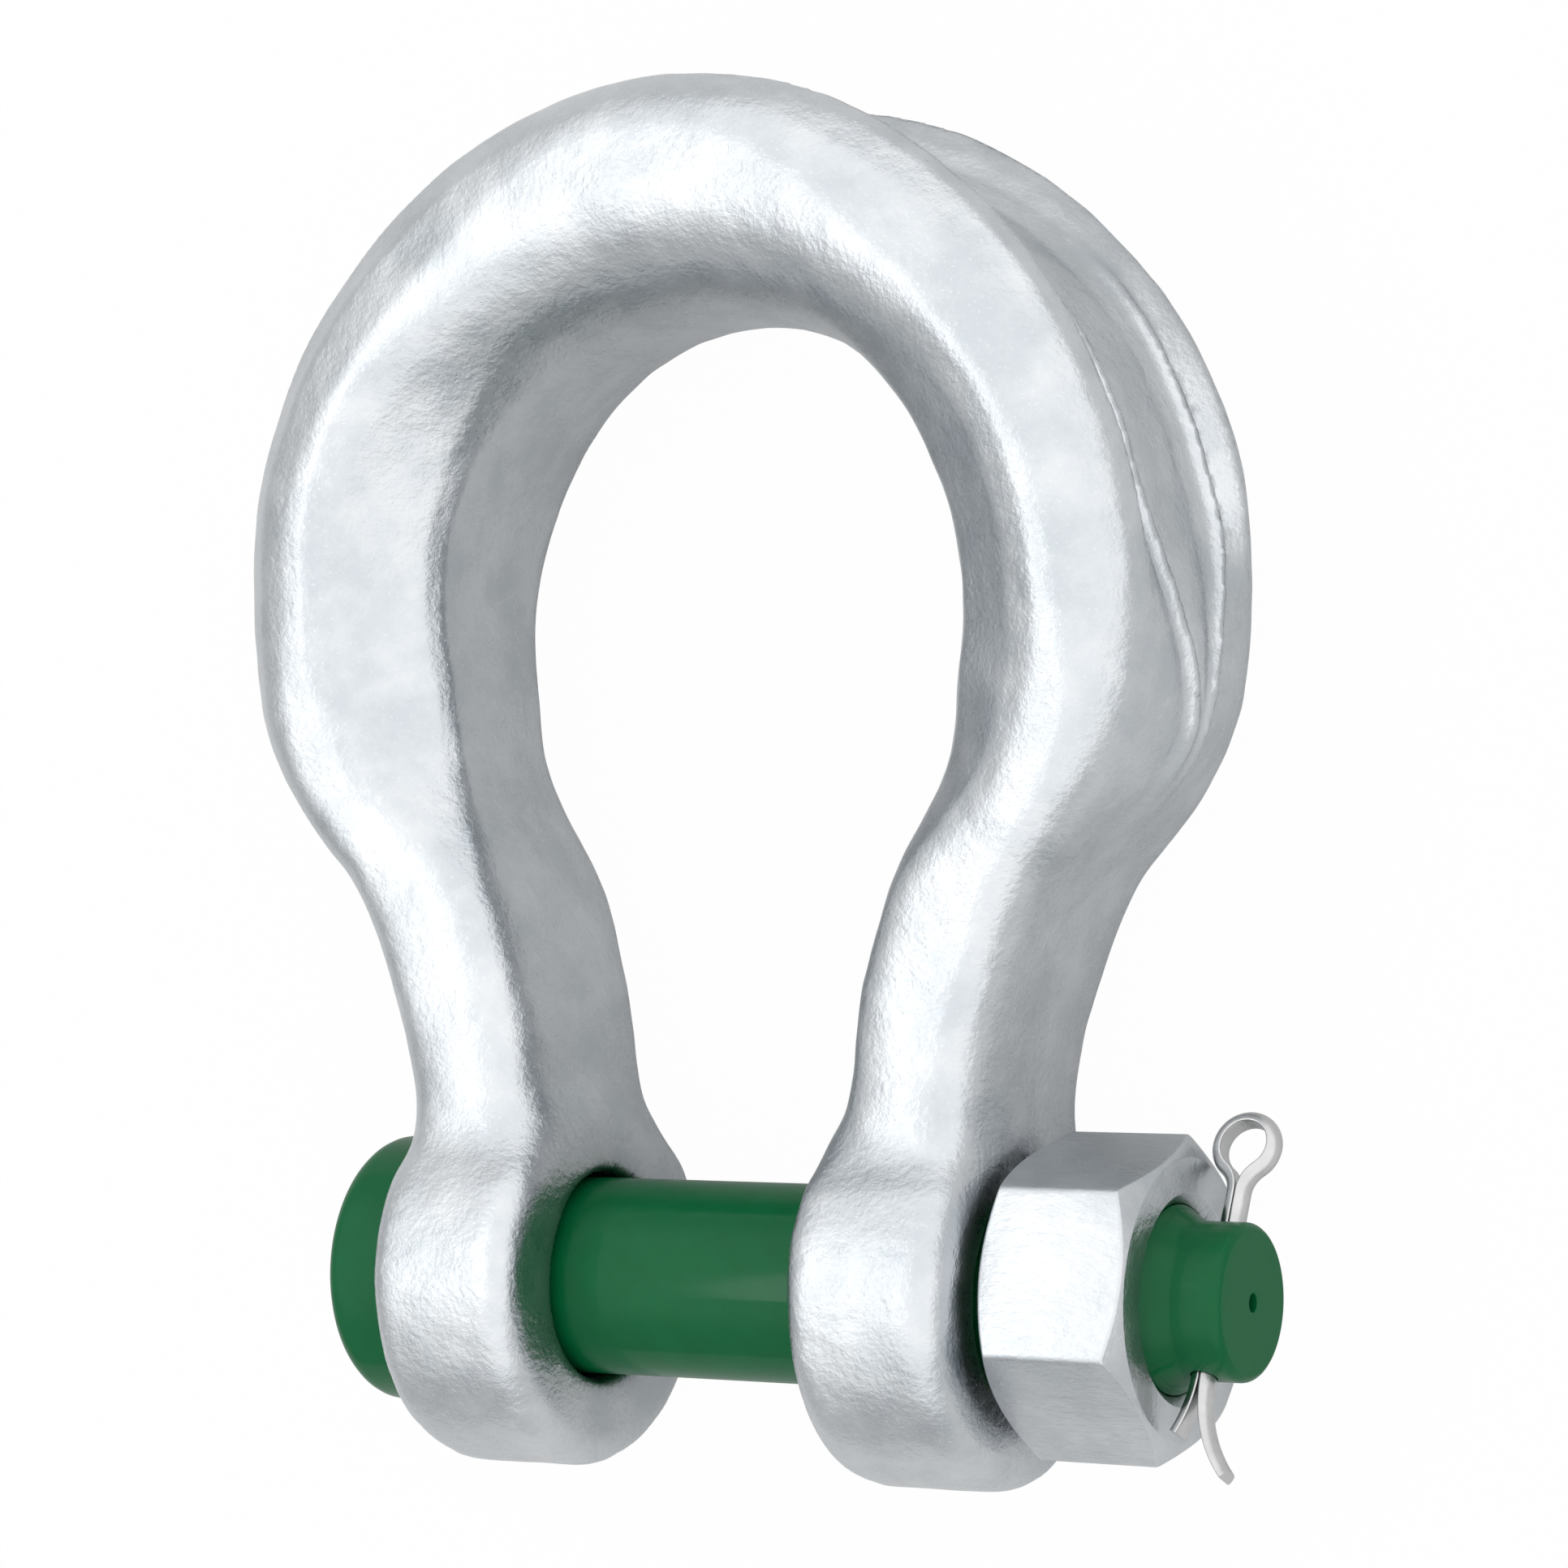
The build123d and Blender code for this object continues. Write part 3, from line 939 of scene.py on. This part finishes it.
def step_up(low, high):
    """Smooth step of the world's brightness, between two cosines from its brightest direction."""
    return studio.node("ShaderNodeMapRange", {"interpolation_type": "SMOOTHSTEP"},
                       {"Value": towards, "From Min": low, "From Max": high})


room = step_up(-0.6, 0.4) * sides + step_up(0.2, 0.58) * front + behind
camera_ray = studio.node("ShaderNodeLightPath", {}, {})
studio.feed(studio.nodes["Background"].inputs["Color"], (1, 1, 1, 1))
studio.feed(studio.nodes["Background"].inputs["Strength"], room * (1 - camera_ray) + camera_ray)
print("the room is", behind, "bright behind the shackle and", round(behind + sides + front, 1), "in front of it")

# %% [markdown]
# ## The camera
# The camera was fitted to the photograph: its place, its turn and its long lens make the pin, the ears and
# the crown fall where the photograph shows them. Its azimuth is counted from the front, +Z, towards +X.

# %% Camera
azimuth, elevation, roll = radians(30.5801), radians(-1.4394), radians(0.1642)
camera_place = Vector((0.7217, 0.1078, 1.1961))
lens, film = 111.28, 36.0


def make_camera():
    """The scene's camera, set from its place and its three angles."""
    forward = Vector((-sin(azimuth) * cos(elevation), -sin(elevation), -cos(azimuth) * cos(elevation)))
    right = Vector((cos(azimuth), 0, -sin(azimuth)))
    up = right.cross(forward)
    level = Matrix((right, up, -forward)).transposed()
    camera = bpy.data.objects.new("camera", bpy.data.cameras.new("camera"))
    camera.data.lens, camera.data.sensor_width = lens, film
    camera.matrix_world = Matrix.Translation(camera_place) @ (level @ Matrix.Rotation(-roll, 3, "Z")).to_4x4()
    bpy.context.scene.collection.objects.link(camera)
    bpy.context.scene.camera = camera
    return camera


camera = make_camera()
print("the camera stands", round(camera_place.length, 2), "m from the pin's middle")

# %% [markdown]
# ## The strip lamp
# One long narrow lamp stands to the left of the camera. It draws the bright lines that the photograph shows
# on the left leg, the ears and the crown.

# %% Lamp
def soft_lamp(name, direction, distance, size, brightness, target=(0, 0.14, 0)):
    """A rectangular lamp whose face is as bright as brightness times a white surface."""
    lamp = bpy.data.objects.new(name, bpy.data.lights.new(name, "AREA"))
    lamp.data.shape, lamp.data.size, lamp.data.size_y = "RECTANGLE", size[0], size[1]
    lamp.data.energy = brightness * pi * size[0] * size[1]
    direction = Vector(direction).normalized()
    lamp.location = Vector(target) + direction * distance
    lamp.rotation_euler = direction.to_track_quat("Z", "Y").to_euler()
    lamp.visible_camera = False
    bpy.context.scene.collection.objects.link(lamp)
    print(name, "uses", round(lamp.data.energy, 1), "W")


soft_lamp("strip", (-0.46, 0.03, 0.88), 1.6, (1.2, 0.14), 2.7)

# %% [markdown]
# ## The view transform
# The view transform stays plain, so a colour renders as it is written.

# %% Finish
bpy.context.scene.view_settings.view_transform = "Standard"
bpy.context.view_layer.update()
